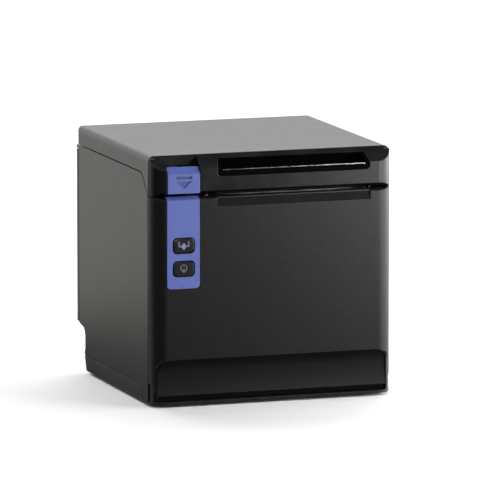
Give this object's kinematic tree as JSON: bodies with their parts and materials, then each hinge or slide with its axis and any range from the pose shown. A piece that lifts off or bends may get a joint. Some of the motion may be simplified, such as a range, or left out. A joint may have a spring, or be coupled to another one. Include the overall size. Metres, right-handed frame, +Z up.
{
  "type": "receipt printer",
  "caption": "Compact cube receipt printer with a clamshell lid, release lever, control keys, platen drive, paper cutter and rear cable bay.",
  "frame": {"origin": "centre of the footprint on the surface it stands on", "axes": "+X right seen from the front, +Y to the back, +Z up"},
  "size_m": [0.13, 0.1308, 0.129],
  "materials": {
    "case_plastic": "fine texture, warm charcoal",
    "facia_plastic": "gloss black",
    "inner_plastic": "moulded black",
    "blue_plastic": "satin blue",
    "key_plastic": "satin black",
    "steel_sheet": "zinc plated",
    "steel_ground": "ground",
    "heat_sink_metal": "milled",
    "ceramic": "glazed",
    "roller_rubber": "ground",
    "foot_rubber": "matt",
    "gear_plastic": "acetal",
    "brass_metal": "turned",
    "board_green": "solder mask",
    "part_black": "moulded",
    "motor_metal": "plated",
    "socket_metal": "nickel",
    "bush_plastic": "acetal"
  },
  "bodies": {
    "housing": {"base_tray": "inner_plastic", "main_case": "case_plastic", "front_panel": "case_plastic", "rear_cover": "case_plastic", "control_bezel": "blue_plastic", "paper_bin": "inner_plastic", "top_deck": "inner_plastic", "paper_guide": "inner_plastic", "frame_left": "steel_sheet", "frame_right": "steel_sheet", "gear_plate": "steel_sheet", "feed_motor": "motor_metal", "thermal_head": "ceramic", "heat_sink": "heat_sink_metal", "head_bracket": "steel_sheet", "head_springs": "steel_ground", "cutter_frame": "steel_sheet", "cutter_motor": "motor_metal", "main_board": "board_green", "board_parts": "part_black", "connector_board": "board_green", "cable_bay": "inner_plastic", "power_inlet": "part_black", "interface_socket": "socket_metal", "network_socket": "socket_metal", "drawer_socket": "part_black", "panel_board": "board_green", "paper_sensor": "part_black", "hinge_pins": "steel_ground", "feet": "foot_rubber", "base_screws": "steel_ground"},
    "lid": {"lid_shell": "case_plastic", "lid_facia": "facia_plastic", "slot_insert": "inner_plastic", "platen_holder": "steel_sheet", "fixed_blade": "steel_ground", "platen_bushes": "bush_plastic", "latch_spring": "steel_ground", "lid_screws": "steel_ground"},
    "platen": {"platen_shaft": "steel_ground", "platen_roller": "roller_rubber", "platen_gear": "gear_plastic"},
    "idler": {"idler_gear": "gear_plastic"},
    "pinion": {"motor_pinion": "brass_metal"},
    "lever": {"release_lever": "blue_plastic"},
    "latch": {"latch_hooks": "steel_sheet"},
    "feed_key": {"feed_button": "key_plastic"},
    "power_key": {"power_button": "key_plastic"},
    "cutter": {"cutter_blade": "steel_ground"},
    "cutter_drive": {"cutter_pinion": "brass_metal"}
  },
  "joints": [
    {"name": "lid_hinge", "type": "hinge", "parent": "housing", "child": "lid", "pos_m": [0, 0.0585, 0.1237], "axis": [-1, 0, 0], "range_deg": [0, 88]},
    {"name": "platen_spin", "type": "hinge", "parent": "lid", "child": "platen", "pos_m": [0.0111, -0.047, 0.1154], "axis": [1, 0, 0], "continuous": true},
    {"name": "idler_spin", "type": "hinge", "parent": "housing", "child": "idler", "pos_m": [-0.0391, -0.04078, 0.09627], "axis": [1, 0, 0], "continuous": true},
    {"name": "pinion_spin", "type": "hinge", "parent": "housing", "child": "pinion", "pos_m": [-0.0391, -0.03062, 0.08175], "axis": [1, 0, 0], "continuous": true},
    {"name": "lever_slide", "type": "slide", "parent": "lid", "child": "lever", "axis": [0, 0, -1], "range_m": [0, 0.002], "stiffness_N_per_m": 900, "springref_m": -0.004},
    {"name": "latch_swing", "type": "hinge", "parent": "lid", "child": "latch", "pos_m": [0, -0.034, 0.121], "axis": [1, 0, 0], "range_deg": [0, 11.5]},
    {"name": "feed_press", "type": "slide", "parent": "housing", "child": "feed_key", "axis": [0, 1, 0], "range_m": [0, 0.0007], "stiffness_N_per_m": 1200, "springref_m": -0.0006},
    {"name": "power_press", "type": "slide", "parent": "housing", "child": "power_key", "axis": [0, 1, 0], "range_m": [0, 0.0007], "stiffness_N_per_m": 1200, "springref_m": -0.0006},
    {"name": "cutter_stroke", "type": "slide", "parent": "housing", "child": "cutter", "axis": [0, 0, 1], "range_m": [0, 0.005]},
    {"name": "cutter_drive_spin", "type": "hinge", "parent": "housing", "child": "cutter_drive", "pos_m": [0.006, -0.0576, 0.076], "axis": [0, -1, 0], "range_deg": [0, 80]}
  ],
  "couplings": [
    {"joint": "idler_spin", "follows": "platen_spin", "ratio": -0.66667},
    {"joint": "pinion_spin", "follows": "platen_spin", "ratio": 1.4286},
    {"joint": "latch_swing", "follows": "lever_slide", "rad_per_m": 99.669},
    {"joint": "cutter_drive_spin", "follows": "cutter_stroke", "rad_per_m": 277.78}
  ]
}
